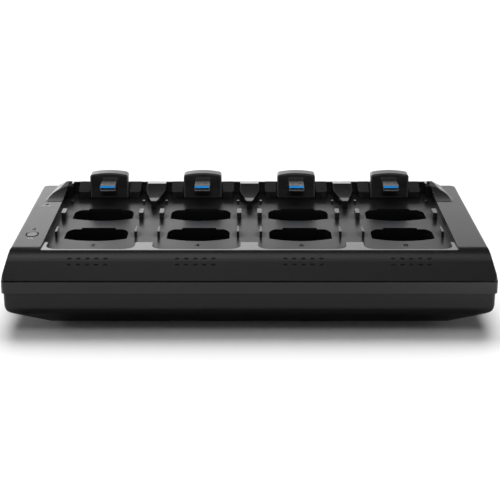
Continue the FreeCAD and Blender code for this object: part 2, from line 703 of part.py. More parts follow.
def make_deck_guides():
    """Knife-like fin, stout post and small stud on each side of every bay, for a pack to line up on."""
    guides = []
    for bay in BAYS:
        for side in (-1, 1):
            middle = bay_x(bay) + side * size.fin_x
            nose, wide, narrow = size.fin_front + size.fin_half, size.fin_half, size.fin_back_half
            guides.append(prism(
                f"fin_{bay}_{side + 1}", "Z",
                [(middle - wide, nose), Bend(wide + 0.001, 1), (middle + wide, nose),
                 (middle + narrow, size.fin_back), (middle - narrow, size.fin_back)],
                size.deck_top, size.fin_top))
            for name, place, front, back, wide, top in (
                    ("post", size.post_x, size.post_front, size.post_back, size.post_half, size.post_top),
                    ("stud", size.stud_x, size.stud_front, size.stud_back, size.stud_half, size.stud_top)):
                low_x = bay_x(bay) + side * place - wide
                guide = prism(f"{name}_{bay}_{side + 1}", "Z",
                              rectangle(low_x, low_x + 2 * wide, front, back), size.deck_top, top)
                round_edges(guide, wide * 0.6, runs_along("Z"))
                guides.append(guide)
    publish(grouped("guides", guides), "deck_guides")


def make_front_rail():
    """Trim rail along the front of the deck, with a tongue beside every bay."""
    half = size.opening_half - size.touch_gap
    front = size.opening_front + size.touch_gap
    rail = prism("rail", "X", [(front, size.deck_top), (size.rail_back, size.deck_top),
                               (size.rail_back, size.rail_back_top), (front, size.rail_front_top)],
                 -half, half)
    x = bay_x(0)
    notch = pocket(rail, "Z", rectangle(x - size.bay_half, x + size.bay_half, size.bay_front, -40),
                   size.deck_top - 1, size.flange_top)
    pattern(rail, notch, [len(BAYS)], [size.bay_pitch])

    def notch_corner(edge):
        return runs_along("Z")(edge) and abs(edge.CenterOfMass.y - size.bay_front.number) < 0.1
    round_edges(rail, size.bay_corner, notch_corner)

    def end_corner(edge):
        return runs_along("Z")(edge) and abs(edge.CenterOfMass.y - front.number) < 0.1
    round_edges(rail, size.opening_round, end_corner)

    def upper(edge):
        return edge.BoundBox.ZMin > size.rail_back_top.number - 0.01
    round_edges(rail, size.rail_ease, upper)
    publish(rail, "front_rail")


def bay_side(bay, side, back):
    """Plan of one side of the room that the bridge leaves for a bay's arm, from front to back."""
    half = size.bay_pitch / 2
    narrow = bay_x(bay) + side * (half - size.web_top_half)
    front = size.bridge_front - 1
    if (bay, side) in ((BAYS[0], -1), (BAYS[-1], 1)):
        edge = side * size.opening_half
        return [(edge, front), (edge, size.wing_neck_y), (narrow, size.wing_neck_y), (narrow, back)]
    wide = bay_x(bay) + side * (half - size.web_foot_half)
    return [(wide, front), (narrow, size.web_bend_y), (narrow, back)]


def make_rear_bridge():
    """Raised rail across the back: webs between the bays, wings at both ends."""
    wings = prism("bridge_wings", "X", bridge_profile(size.bridge_front, size.flange_top),
                  -size.wing_half, size.wing_half)
    edge, back = wing_reach(size.wing_radius), size.bridge_back
    plan = prism("bridge_plan", "Z", [
        (-size.wing_half, size.bridge_front), (size.wing_half, size.bridge_front),
        (size.wing_half, size.wing_bend_y), Bend(size.wing_radius, 1), (edge, size.wing_meet_y),
        (edge, back), (-edge, back), (-edge, size.wing_meet_y), Bend(size.wing_radius, 1),
        (-size.wing_half, size.wing_bend_y)], size.flange_top - 1, size.arm_top)
    half = size.opening_half - size.touch_gap
    foot = size.opening_back - size.touch_gap
    webs = prism("bridge_webs", "X", [
        (size.bridge_front + 0.5, size.deck_top), (foot, size.deck_top), (foot, size.flange_top + 1),
        (size.bridge_front + 0.5, size.flange_top + 0.5)], -half, half)
    bays = []
    for bay in BAYS:
        outline = bay_side(bay, -1, foot + 0.1)[::-1] + bay_side(bay, 1, foot + 0.1)
        bay_cut = prism(f"bridge_bay_{bay}", "Z", outline, size.deck_top - 1, size.arm_top)

        def at_bend(edge):
            return runs_along("Z")(edge) and abs(edge.CenterOfMass.y - size.web_bend_y.number) < 0.1
        round_edges(bay_cut, size.web_bend_radius, at_bend)
        bays.append(bay_cut)
    body = joined("bridge_body", [shared("bridge_top", wings, plan), webs])
    publish(cut("rear_bridge_solid", body, bays), "rear_bridge")


def make_pocket_liners():
    """Deep cups that hang under the deck, each just wider than the hole above it."""
    room = size.touch_gap.number
    wall = room + size.liner_wall.number
    for row in ROWS:
        for bay in BAYS:
            outside = pocket_block("liner_outside", bay, row, wall, size.pocket_floor, size.deck_low)
            flange = pocket_block("liner_flange", bay, row, wall + size.liner_flange.number,
                                  size.deck_low - size.flange_thick, size.deck_low)
            inside = pocket_block("liner_inside", bay, row, room, size.pocket_floor + size.floor_thick,
                                  size.deck_low + 1)
            ways = [contact_way(bay, row, n) for n in range(CONTACTS)]
            body = joined(f"liner_body_{bay}_{row}", [outside, flange])
            publish(cut(f"liner_{bay}_{row}", body, [inside] + ways), f"pocket_liner_{row * 4 + bay + 1}")


CONTACTS = 4  # in each pocket
CONTACT_PITCH = 5
CONTACT_FROM_FRONT = 22
CONTACT_HALF = 0.7
CONTACT_ROOM = 0.4
# side view of a leaf contact: distance behind its foot, height above its board
CONTACT_LEAF = ((0, 0), (0.5, 0), (0.5, 7.4), (-2.3, 9.6), (-3.9, 7.6), (-3.5, 7.3), (-2.2, 8.9), (0, 7.1))


def contact_x(bay, number):
    return bay_x(bay) + CONTACT_PITCH * (number - 1.5)


def contact_way(bay, row, number):
    """Window in a pocket's floor for one leaf contact."""
    x = contact_x(bay, number)
    y = size.pocket_front + size.pocket_pitch * row + CONTACT_FROM_FRONT
    half = CONTACT_HALF + CONTACT_ROOM
    reach = max(-back for back, _ in CONTACT_LEAF) + CONTACT_ROOM
    return box(f"contact_way_{bay}_{row}_{number}", (x - half, x + half), (y - reach, y + half),
               (size.pocket_floor - 1, size.pocket_floor + size.floor_thick + 1))


def make_contacts():
    """Gold-plated leaf contacts: a leg on the board and a bent spring tip in the pocket."""
    base = size.board_low + size.board_thick
    y = size.pocket_front + CONTACT_FROM_FRONT
    leaf = prism("contact_leaf", "X", [(y + back, base + up) for back, up in CONTACT_LEAF],
                 contact_x(0, 0) - CONTACT_HALF, contact_x(0, 0) + CONTACT_HALF)
    document.recompute()
    pads = []
    for bay in BAYS:
        for row in ROWS:
            for number in range(CONTACTS):
                link = document.addObject("Part::Compound", f"contact_{bay}_{row}_{number}")
                link.Links = [leaf]
                bind(link, "Placement.Base.x", contact_x(bay, number) - contact_x(0, 0))
                bind(link, "Placement.Base.y", size.pocket_pitch * row)
                pads.append(link)
    publish(grouped("contacts", pads), "battery_contacts")


# ---------------------------------------------------------------- connector arms

def crown_block(name, bay, half, low, tops, front, back, corner):
    """Arm-shaped block: upright sides, rounded shoulders and a gently arched top."""
    x = bay_x(bay)
    side_top, crown_top = tops
    rise = crown_top - side_top
    radius = Size((half.number ** 2 + rise.number ** 2) / (2 * rise.number),
                  f"(({half.formula}^2 + {rise.formula}^2) / (2 * {rise.formula}))")
    block = prism(f"{name}_{bay}", "Y", [(x - half, low), (x + half, low), (x + half, side_top),
                                         Bend(radius, 1), (x - half, side_top)], front, back)

    def at_shoulder(edge):
        return runs_along("Y")(edge) and edge.CenterOfMass.z > side_top.number - 1
    round_edges(block, corner, at_shoulder)
    return block


def make_arm(bay):
    label, x = bay + 1, bay_x(bay)
    hinge_y, hinge_z = size.hinge_y, size.hinge_z
    plate_back = size.arm_front + size.arm_plate
    face = (size.arm_side_top, size.arm_crown_top)
    plate = crown_block("arm_plate", bay, size.arm_half, size.arm_low, face, size.arm_front, plate_back,
                        size.arm_round)
    web = box(f"arm_web_{bay}", (x - size.arm_half, x + size.arm_half), (plate_back - 0.5, hinge_y),
              (size.arm_web_low, hinge_z + size.knuckle_radius))
    knuckle = rod(f"arm_knuckle_{bay}", "X", size.knuckle_radius, (x - size.arm_half, hinge_y, hinge_z),
                  2 * size.arm_half)
    bore = rod(f"arm_bore_{bay}", "X", size.pin_radius + size.pin_clearance,
               (x - size.arm_half - 1, hinge_y, hinge_z), 2 * size.arm_half + 2)
    spring_reach = size.spring_half + size.spring_room
    coil_reach = size.spring_coil + size.spring_wire + 0.75
    spring_way = box(f"spring_way_{bay}", (x - spring_reach, x + spring_reach),
                     (hinge_y - coil_reach, hinge_y + 5), (hinge_z - 5, hinge_z + 5))
    plug_way = box(f"plug_way_{bay}", (x - size.plug_width / 2, x + size.plug_width / 2),
                   (size.arm_front - 1, plate_back + 1),
                   (size.plug_z - size.plug_height / 2, size.plug_z + size.plug_height / 2))
    arm = cut(f"arm_{bay}", joined(f"arm_body_{bay}", [plate, web, knuckle]), [bore, spring_way, plug_way])
    publish(arm, f"connector_arm_{label}")
    make_cap(bay, face, plate_back)
    make_plug(bay)


def make_cap(bay, face, plate_back):
    """Grey hood that frames the arm's face on its top and sides; its front legs reach past the hinge."""
    x = bay_x(bay)
    cap = crown_block("cap_block", bay, size.cap_half, size.cap_leg_low, (size.cap_side_top, size.arm_top),
                      size.arm_front, size.arm_back, size.arm_round + size.cap_half - size.arm_half)

    def back_rim(edge):
        middle = edge.CenterOfMass
        return middle.y > size.arm_back.number - 0.1 and middle.z > size.cap_low.number
    round_edges(cap, size.cap_back_round, back_rim)
    skin, low = size.cap_skin, size.cap_leg_low - 1
    face_way = crown_block("face_way", bay, size.arm_half, low, face, size.arm_front - 1, plate_back,
                           size.arm_round)
    hollow = crown_block("cap_hollow", bay, size.cap_half - skin, low,
                         (size.cap_side_top - skin, size.arm_top - skin), plate_back - 1,
                         size.arm_back - skin, size.arm_round)
    hinge_way = box(f"hinge_way_{bay}", (x - size.slot_half, x + size.slot_half),
                    (size.cap_leg_back, size.arm_back + 1), (low, size.cap_low))
    publish(cut(f"cap_{bay}", cap, [face_way, hollow, hinge_way]), f"arm_cap_{bay + 1}")


def make_plug(bay):
    """Type A plug that stands out of the arm's face: sheet-metal shell and plastic tongue."""
    x, label = bay_x(bay), bay + 1
    half_w, half_h = size.plug_width / 2, size.plug_height / 2
    outer = prism(f"plug_outer_{bay}", "Y", rectangle(x - half_w, x + half_w, size.plug_z - half_h,
                                                     size.plug_z + half_h), size.plug_tip, size.plug_root)
    round_edges(outer, 0.5, runs_along("Y"))
    inner = box(f"plug_inner_{bay}", (x - half_w + size.plug_skin, x + half_w - size.plug_skin),
                (size.plug_tip - 1, size.plug_root + 1),
                (size.plug_z - half_h + size.plug_skin, size.plug_z + half_h - size.plug_skin))
    latch_y = size.plug_tip + size.latch_from_tip
    top = size.plug_z + half_h - size.plug_skin
    latches, latch_seats = [], []
    for side in (-1, 1):
        low_x = x + side * size.latch_x - size.latch_hole / 2
        square = ((low_x, low_x + size.latch_hole), (latch_y, latch_y + size.latch_hole))
        latches.append(box(f"latch_{bay}_{side + 1}", *square, (size.plug_z - 5, size.plug_z + 5)))
        latch_seats.append(box(f"latch_seat_{bay}_{side + 1}", *square, (top - size.latch_seat, top + 1)))
    publish(cut(f"plug_{bay}", outer, [inner] + latches), f"usb_plug_shell_{label}")
    wide = half_w - size.plug_skin
    tongue = box(f"tongue_{bay}", (x - wide, x + wide), (size.plug_tip + 0.4, size.plug_root - 1),
                 (top - size.tongue_thick, top))
    heel = box(f"tongue_heel_{bay}", (x - wide, x + wide), (size.plug_root - 6, size.plug_root - 1),
               (size.plug_z - half_h + size.plug_skin, top))
    whole = joined(f"tongue_body_{bay}", [tongue, heel])
    publish(cut(f"tongue_solid_{bay}", whole, latch_seats), f"usb_plug_tongue_{label}")


def make_hinge_bracket(bay):
    """Black housing that an arm swings in, with a sloping roof and a slot open to front, top and back."""
    x = bay_x(bay)
    front, back = size.bracket_front, size.bracket_back
    body = prism(f"bracket_block_{bay}", "X", [(front, size.bracket_low), (back, size.bracket_low),
                                               (back, size.bracket_top), (front, size.bracket_brow)],
                 x - size.bracket_half, x + size.bracket_half)

    def front_corner(edge):
        return runs_along("Z")(edge) and edge.CenterOfMass.y < front.number + 1
    round_edges(body, size.bracket_round, front_corner)
    slot = box(f"bracket_slot_{bay}", (x - size.slot_half, x + size.slot_half), (front - 1, back + 1),
               (size.bracket_floor, size.arm_top))
    seats = [box(f"block_seat_{bay}_{side + 1}", block_ends(bay, side), (front - 1, size.block_back),
                 (size.block_low, size.block_top)) for side in (-1, 1)]
    publish(cut(f"bracket_{bay}", body, [slot] + seats), f"hinge_bracket_{bay + 1}")


def block_ends(bay, side):
    """Low and high X of one bearing block."""
    near, far = bay_x(bay) + side * size.slot_half, bay_x(bay) + side * size.block_outer
    return (near, far) if side > 0 else (far, near)


def make_hinge_metal():
    """Bearing blocks, pins and return springs of the four hinges."""
    blocks, pins, springs = [], [], []
    for bay in BAYS:
        x = bay_x(bay)
        centre = (size.hinge_y, size.hinge_z)
        for side in (-1, 1):
            ends = block_ends(bay, side)
            block = box(f"block_{bay}_{side + 1}", ends, (size.block_front, size.block_back),
                        (size.block_low, size.block_top))
            bore = rod(f"block_bore_{bay}_{side + 1}", "X", size.pin_radius, (ends[0] - 1, *centre), 8)
            blocks.append(cut(f"drilled_block_{bay}_{side + 1}", block, [bore]))
        pins.append(rod(f"pin_{bay}", "X", size.pin_radius, (x - size.pin_half, *centre),
                        2 * size.pin_half))
        helix = document.addObject("Part::Helix", f"coil_path_{bay}")
        bind(helix, "Radius", size.spring_coil)
        bind(helix, "Pitch", size.spring_half * 2 / 6)
        bind(helix, "Height", size.spring_half * 2 - 1)
        wire = document.addObject("Part::Circle", f"coil_wire_{bay}")
        bind(wire, "Radius", size.spring_wire)
        wire.Placement = Placement(Vector(size.spring_coil.number, 0, 0), Rotation(Vector(1, 0, 0), 90))
        bind(wire, "Placement.Base.x", size.spring_coil)
        coil = document.addObject("Part::Sweep", f"coil_{bay}")
        coil.Sections = [wire]
        coil.Spine = (helix, [])
        coil.Solid = True
        coil.Frenet = True
        spring = grouped(f"spring_{bay}", [coil])
        spring.Placement = Placement(Vector(), AXIS_TURN["X"])
        for place, value in zip("xyz", (x - size.spring_half + 0.5, *centre)):
            bind(spring, f"Placement.Base.{place}", value)
        springs.append(spring)
    publish(grouped("blocks", blocks), "hinge_blocks")
    publish(grouped("pins", pins), "hinge_pins")
    publish(grouped("springs", springs), "hinge_springs")


# ---------------------------------------------------------------- button, lights and boards

def make_light_guides():
    """One clear moulding per bay: ten windows on a bar behind the front slope."""
    depth = size.skin + size.guide_bar_gap + size.guide_bar
    for bay in BAYS:
        x = bay_x(bay)
        fit = size.touch_gap
        prongs = indicator_boxes("window", bay, size.slot_width - fit, size.slot_height - fit,
                                 -depth + 0.5, as_size(-0.35))
        bar = box(f"guide_bar_{bay}", (x - 2.5 * size.slot_pitch, x + 2.5 * size.slot_pitch),
                  (-size.slot_row_two - size.guide_bar_down, -size.slot_row_one + size.guide_bar_up),
                  (-depth, -size.skin - size.guide_bar_gap))
        publish(lay_on_slope(joined(f"guide_{bay}", [bar] + prongs)), f"bay_light_guide_{bay + 1}")
    pipes = []
    for name, y in (("power", size.power_light_y), ("network", size.network_light_y)):
        foot = (size.light_x, y, size.deck_top)
        pipe = rod(f"{name}_pipe", "Z", size.light_radius - 0.05, foot,
                   size.flange_top - size.light_drop - size.deck_top)
        collar = rod(f"{name}_pipe_collar", "Z", size.light_radius + 1, foot,
                     size.flange_top - size.skin - size.deck_top)
        pipes.append(joined(f"{name}_pipe_body", [pipe, collar]))
    publish(grouped("flange_pipes", pipes), "flange_light_pipes")


def make_led_board():
    depth = led_depth()
    half = size.bay_pitch * 1.5 + size.led_board_end
    board = box("led_strip", (-half, half),
                (-size.slot_row_two - size.led_board_down, -size.slot_row_one + size.led_board_up),
                (-depth - size.led_board_thick, -depth))
    publish(lay_on_slope(grouped("led_strip_place", [board])), "led_board")
    chips = []
    for bay in BAYS:
        chips += indicator_boxes("led", bay, size.led_width, size.led_height, -depth,
                                 size.led_height - depth)
    publish(lay_on_slope(grouped("led_places", chips)), "indicator_leds")


def make_power_button():
    collar_top = size.flange_top - size.skin - size.collar_gap
    cap = prism("button_cap", "Z", oval_plan(size.button_width, size.button_length),
                collar_top - size.collar_thick, size.button_top)
    round_edges(cap, 0.5, at_level(size.button_top))
    collar = prism("button_collar", "Z", oval_plan(size.button_width + 2 * size.button_collar,
                                                   size.button_length + 2 * size.button_collar),
                   collar_top - size.collar_thick, collar_top)
    x, y = size.button_x, size.button_y
    stem_low = collar_top - size.stem_drop
    stem = rod("button_stem", "Z", size.stem_radius, (x, y, stem_low), size.stem_drop - 0.3)
    publish(joined("button", [cap, collar, stem]), "power_button")
    board_top = size.deck_low - size.button_board_drop
    board = box("button_board_plate", (x - size.button_board_left, x + size.button_board_right),
                (y - size.button_board_front, y + size.button_board_back),
                (board_top - size.button_board_thick, board_top))
    publish(board, "button_board")
    half, case_top = size.switch_half, board_top + size.switch_height
    case = box("switch_case", (x - half, x + half), (y - half, y + half), (board_top, case_top))
    plunger_top = stem_low - size.button_travel - 0.1
    plunger = rod("switch_plunger", "Z", size.plunger_radius, (x, y, case_top - 0.3),
                  plunger_top - case_top + 0.3)
    publish(joined("switch", [case, plunger]), "tact_switch")


def make_boards():
    low, high = size.board_low, size.board_low + size.board_thick
    plate = box("charging_plate", (-size.board_half_x, size.board_half_x),
                (size.board_front, size.board_back), (low, high))
    _, middle_screws = screw_places()
    ways = [rod(f"board_way_{n}", "Z", size.sleeve_radius + 0.6, (x, y, low - 1), 4)
            for n, (x, y, _) in enumerate(middle_screws)]
    ways += [rod(f"board_hole_{n}", "Z", size.board_hole_radius, (x, y, low - 1), 4)
             for n, (x, y) in enumerate(BOARD_POSTS)]
    publish(cut("charging_board_solid", plate, ways), "charging_board")
    io_plate = box("io_plate", (size.io_board_left, size.io_board_right),
                   (size.io_board_front, size.io_board_back), (low, high))
    io_ways = [rod(f"io_hole_{n}", "Z", size.board_hole_radius, (x, y, low - 1), 4)
               for n, (x, y) in enumerate(IO_POSTS)]
    publish(cut("io_board_solid", io_plate, io_ways), "io_board")
    wide, top = (size.header_left, size.header_right), high + size.header_height
    headers = [box("header_front", wide, (size.header_front, size.header_front + size.header_depth),
                   (high, top)),
               box("header_back", wide, (size.header_back - size.header_depth, size.header_back),
                   (high, top))]
    publish(grouped("board_headers", headers), "board_connectors")
    ribbon = box("ribbon_bridge",
                 (size.header_left + size.ribbon_inset, size.header_right - size.ribbon_inset),
                 (size.header_front + size.ribbon_lap, size.header_back - size.ribbon_lap),
                 (top, top + size.ribbon_thick))
    publish(ribbon, "board_ribbon")


JACK_WIRES = 8
JACK_WIRE_PITCH = 1.02


def make_sockets():
    base = size.board_low + size.board_thick
    back = size.socket_back
    x, half = size.jack_x, size.jack_width / 2 - size.touch_gap
    body = box("jack_body", (x - half, x + half), (back - size.jack_depth, back),
               (base, base + size.jack_height - size.touch_gap))
    mouth_low = base + size.jack_mouth_lift
    mouth_top = mouth_low + size.jack_mouth_height
    mouth = box("jack_mouth", (x - size.jack_mouth_width / 2, x + size.jack_mouth_width / 2),
                (back - size.jack_mouth_depth, back + 1), (mouth_low, mouth_top))
    key = box("jack_key", (x - size.jack_key_half, x + size.jack_key_half),
              (back - size.jack_mouth_depth, back + 1), (base + size.jack_key_lift, mouth_low + 1))
    publish(cut("jack", body, [mouth, key]), "ethernet_jack")
    wires = []
    for number in range(JACK_WIRES):
        wire_x = x + JACK_WIRE_PITCH * (number - (JACK_WIRES - 1) / 2)
        wires.append(box(f"jack_wire_{number}", (wire_x - size.jack_wire_half, wire_x + size.jack_wire_half),
                         (back - size.jack_wire_deep, back - size.jack_wire_shallow),
                         (mouth_top - size.jack_wire_drop, mouth_top)))
    publish(grouped("jack_wires", wires), "ethernet_contacts")

    x, half = size.inlet_x, size.inlet_width / 2 - size.touch_gap
    centre = base + size.inlet_height / 2
    body = box("inlet_body", (x - half, x + half), (back - size.inlet_depth, back),
               (base, base + size.inlet_height - size.touch_gap))
    bore = rod("inlet_bore", "Y", size.inlet_radius, (x, back - size.inlet_bore_depth, centre),
               size.inlet_bore_depth + 1)
    publish(cut("inlet", body, [bore]), "power_inlet")
    publish(rod("inlet_pin", "Y", size.inlet_pin_radius, (x, back - size.inlet_bore_depth, centre),
                size.inlet_bore_depth - size.inlet_pin_set_back), "power_inlet_pin")


def make_screws():
    """Case screws with pan heads from below, and small pan-head screws that hold the boards."""
    corners, middle = screw_places()
    screws = []
    for number, (x, y, lift) in enumerate(corners + middle):
        low, top = size.screw_head_low + lift, size.screw_head_top + lift
        head = rod(f"case_head_{number}", "Z", size.screw_head_radius, (x, y, low), top - low)
        shank = rod(f"case_shank_{number}", "Z", size.screw_radius, (x, y, top - 0.2),
                    size.post_low + lift + size.screw_reach - 1 - top)
        drive = rod(f"case_drive_{number}", "Z", size.screw_drive_radius, (x, y, low - 1), 2)
        whole = joined(f"case_screw_body_{number}", [head, shank])
        screws.append(cut(f"case_screw_{number}", whole, [drive]))
    publish(grouped("case_screw_set", screws), "case_screws")
    screws = []
    top = size.board_low + size.board_thick
    for number, (x, y) in enumerate(BOARD_POSTS + IO_POSTS):
        head = rod(f"board_head_{number}", "Z", size.board_head_radius, (x, y, top), size.board_head_height)
        shank = rod(f"board_shank_{number}", "Z", size.board_screw_radius,
                    (x, y, top - size.board_screw_reach), size.board_screw_reach + 0.2)
        screws.append(joined(f"board_screw_{number}", [head, shank]))
    publish(grouped("board_screw_set", screws), "board_screws")


# ---------------------------------------------------------------- check and write

def check_and_write():
    document.recompute()
    for item in document.Objects:
        if "Invalid" in item.State or "Error" in item.State:
            raise RuntimeError(f"{item.Name} failed: {item.State}")
    for solid in sub_parts:
        if solid.Shape.isNull() or not solid.Shape.isValid():
            raise RuntimeError(f"{solid.Label} has no valid shape")
    os.makedirs("parts", exist_ok=True)
    for solid in sub_parts:
        solid.Shape.exportStep(f"parts/{solid.Label}.step")
        print(f"{solid.Label:24s} solids {len(solid.Shape.Solids):3d}  volume {solid.Shape.Volume:10.1f}")


make_bottom_shell()
make_side_band()
make_feet()
make_top_shell()
make_deck_tray()
make_deck_guides()
make_front_rail()
make_rear_bridge()
make_pocket_liners()
make_contacts()
for bay_number in BAYS:
    make_hinge_bracket(bay_number)
    make_arm(bay_number)
make_hinge_metal()
make_light_guides()
make_led_board()
make_power_button()
make_boards()
make_sockets()
make_screws()
check_and_write()
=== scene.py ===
"""Looks for the eight-pocket docking charger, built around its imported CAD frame.

Metres, +X right, +Y back, +Z up.
"""
import json
import math

import bmesh
import bpy
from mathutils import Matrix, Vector


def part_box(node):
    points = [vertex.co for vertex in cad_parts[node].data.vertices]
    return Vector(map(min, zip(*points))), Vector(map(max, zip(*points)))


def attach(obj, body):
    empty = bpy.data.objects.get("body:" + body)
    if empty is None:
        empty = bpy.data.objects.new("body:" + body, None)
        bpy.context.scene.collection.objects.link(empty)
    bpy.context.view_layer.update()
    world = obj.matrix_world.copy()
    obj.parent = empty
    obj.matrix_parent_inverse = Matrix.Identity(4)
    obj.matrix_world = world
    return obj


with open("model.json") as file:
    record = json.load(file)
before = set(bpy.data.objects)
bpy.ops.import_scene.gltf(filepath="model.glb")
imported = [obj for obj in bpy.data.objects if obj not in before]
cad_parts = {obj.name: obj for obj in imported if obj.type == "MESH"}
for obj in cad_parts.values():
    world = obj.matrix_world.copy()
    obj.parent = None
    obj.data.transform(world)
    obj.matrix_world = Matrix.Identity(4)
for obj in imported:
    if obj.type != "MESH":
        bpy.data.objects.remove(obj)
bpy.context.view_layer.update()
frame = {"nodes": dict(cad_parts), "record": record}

MM = 0.001
BAYS = (1, 2, 3, 4)
DECK_TOP = 47.5 * MM
FLANGE_TOP = 53 * MM
TONGUE_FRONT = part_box("usb_plug_tongue_1")[0].y

INK = 0.05 * MM  # thickness of everything printed
NUMERAL_HEIGHT = 5.2 * MM
NUMERAL_GAP = 6.3 * MM  # from the pocket's edge to the middle of its numeral
NUMERAL_LIFT = 0.02 * MM
NUMERAL_FATTENING = 0.12 * MM
FONT_SIZE_PER_HEIGHT = 1.4
SIGN_LINE = 0.5 * MM
POWER_SIGN_GAP = 9.2 * MM
POWER_SIGN_RADIUS = 1.5 * MM
NETWORK_SIGN_GAP = 5.6 * MM
NETWORK_SIGN_HALF = 2.6 * MM
PANEL_HALF = 7.1 * MM
PANEL_DROP = 14.2 * MM  # from the top of the arm to the top of its outline
PANEL_FOOT_DROP = 18.6 * MM
PANEL_LINE = 0.5 * MM
PANEL_RELIEF = 0.18 * MM
PANEL_ROUNDING = 0.06 * MM

BRUSH_LINES = 0.5 * MM
EDGE_HIGHLIGHT_FULL, EDGE_HIGHLIGHT_NONE = 0.86, 1.0  # agreement of rounded and true normal, from full painted edge highlight to none
CROWDED_BELOW, OPEN_ABOVE = 0.78, 0.95  # ambient occlusion below which the reflection is fully turned down as painted shade, and above which it is kept
CROWDING_REACH = 45 * MM

# brightness of the surroundings by the height of the direction, 0 level and 1 straight up
SKY_LEVELS = ((0.0, 0.8), (0.22, 1.0), (0.26, 0.85), (0.35, 0.25),
              (0.42, 0.08), (0.55, 0.03), (0.9, 0.03), (0.98, 0.6))
FLOOR_HALF = 5
CAMERA_PLACE = (0, -0.9222, 0.3444)
CAMERA_PITCH = 71.06
CAMERA_LENS = 92.3
CAMERA_SENSOR = 36
CAMERA_SHIFT = 0.0012

scene = bpy.context.scene
scene.view_settings.view_transform = "Standard"


# ---------------------------------------------------------------- node helpers

class Graph:
    """A node tree with short calls for adding and joining nodes."""

    def __init__(self, tree):
        self.tree = tree
        tree.nodes.clear()

    def add(self, kind, values=None, **settings):
        node = self.tree.nodes.new("ShaderNode" + kind)
        for key, value in settings.items():
            setattr(node, key, value)
        for key, value in (values or {}).items():
            node.inputs[key].default_value = value
        return node

    def join(self, source, target):
        self.tree.links.new(source, target)

    def noise(self, size, detail=3.0, stretch=None):
        """Noise with features about size metres across, in object space."""
        where = self.add("TexCoord").outputs["Object"]
        if stretch:
            mapping = self.add("Mapping")
            mapping.inputs["Scale"].default_value = stretch
            self.join(where, mapping.inputs["Vector"])
            where = mapping.outputs["Vector"]
        texture = self.add("TexNoise", {"Scale": 1 / size, "Detail": detail, "Roughness": 0.6})
        self.join(where, texture.inputs["Vector"])
        return texture.outputs["Fac"]

    def spread(self, value, low, high, start=0.3, end=0.7):
        """Maps a value from start to end onto the range from low to high, held at both ends."""
        ranged = self.add("MapRange", {"From Min": start, "From Max": end, "To Min": low, "To Max": high})
        self.join(value, ranged.inputs["Value"])
        return ranged.outputs["Result"]

    def blend(self, factor, first, second):
        """Colour between two, each a tuple or a socket."""
        mix = self.add("Mix", data_type="RGBA")
        for socket, colour in ((mix.inputs[6], first), (mix.inputs[7], second)):
            if isinstance(colour, tuple):
                socket.default_value = (*colour, 1)
            else:
                self.join(colour, socket)
        self.join(factor, mix.inputs[0])
        return mix.outputs[2]

    def bumped(self, height, strength, depth, normal=None):
        bump = self.add("Bump", {"Strength": strength, "Distance": depth})
        self.join(height, bump.inputs["Height"])
        if normal:
            self.join(normal, bump.inputs["Normal"])
        return bump.outputs["Normal"]


def new_material(name):
    material = bpy.data.materials.new(name)
    material.use_nodes = True
    graph = Graph(material.node_tree)
    shader = graph.add("BsdfPrincipled")
    output = graph.add("OutputMaterial")
    graph.join(shader.outputs["BSDF"], output.inputs["Surface"])
    return material, graph, shader


def scaled(colour, factor):
    return tuple(min(1.0, part * factor) for part in colour)


def plastic(name, colour, rough, grain=0.45 * MM, bump=0.25, edge=0.35 * MM, uneven=0.05,
            specular=0.5, coat=0.0, painted_occlusion_shade=False):
    """Moulded plastic: spark-eroded grain, faint mottling, uneven gloss and edges painted a little lighter as
    a highlight.

    Optionally the surface's reflection is turned down as painted shade where taller parts crowd it."""
    material, graph, shader = new_material(name)
    rounded = graph.add("Bevel", {"Radius": edge}, samples=6).outputs["Normal"]
    fine = graph.noise(grain, 2.0)
    coarse = graph.noise(grain * 4, 2.0)
    normal = graph.bumped(coarse, bump * 0.4, 0.02 * MM, rounded)
    normal = graph.bumped(fine, bump, 0.012 * MM, normal)
    graph.join(normal, shader.inputs["Normal"])
    mottled = graph.blend(graph.noise(9 * MM, 4.0), scaled(colour, 0.82), scaled(colour, 1.18))
    # where the rounded normal leaves the true one, the edge is painted a little lighter as a highlight
    geometry = graph.add("NewGeometry")
    facing = graph.add("VectorMath", operation="DOT_PRODUCT")
    graph.join(geometry.outputs["Normal"], facing.inputs[0])
    graph.join(rounded, facing.inputs[1])
    edge_highlight = graph.spread(facing.outputs["Value"], 0.45, 0.0, EDGE_HIGHLIGHT_FULL, EDGE_HIGHLIGHT_NONE)
    graph.join(graph.blend(edge_highlight, mottled, scaled(colour, 2.2)), shader.inputs["Base Color"])
    gloss = graph.spread(graph.noise(22 * MM, 5.0), rough - uneven, rough + uneven)
    graph.join(gloss, shader.inputs["Roughness"])
    shader.inputs["Specular IOR Level"].default_value = specular
    if painted_occlusion_shade:
        # painted shade: the reflection is turned down by ambient occlusion near taller parts
        crowding = graph.add("AmbientOcclusion", {"Distance": CROWDING_REACH}, samples=8).outputs["AO"]
        graph.join(graph.spread(crowding, specular * 0.2, specular, CROWDED_BELOW, OPEN_ABOVE),
                   shader.inputs["Specular IOR Level"])
    if coat:
        shader.inputs["Coat Weight"].default_value = coat
        shader.inputs["Coat Roughness"].default_value = 0.04
    return material


def metal(name, colour, rough, brush=(1.0, 1.0, 1.0), bump=0.15, edge=0.12 * MM, bare=1.0):
    """Plated or brushed metal with fine lines drawn out along one axis and a slight tarnish."""
    material, graph, shader = new_material(name)
    shader.inputs["Metallic"].default_value = bare
    rounded = graph.add("Bevel", {"Radius": edge}, samples=4).outputs["Normal"]
    lines = graph.noise(BRUSH_LINES, 2.0, brush)
    graph.join(graph.bumped(lines, bump, 0.01 * MM, rounded), shader.inputs["Normal"])
    graph.join(graph.spread(lines, rough * 0.75, rough * 1.3), shader.inputs["Roughness"])
    tarnish = graph.blend(graph.noise(2.5 * MM, 5.0), scaled(colour, 0.86), scaled(colour, 1.06))
    graph.join(tarnish, shader.inputs["Base Color"])
    return material


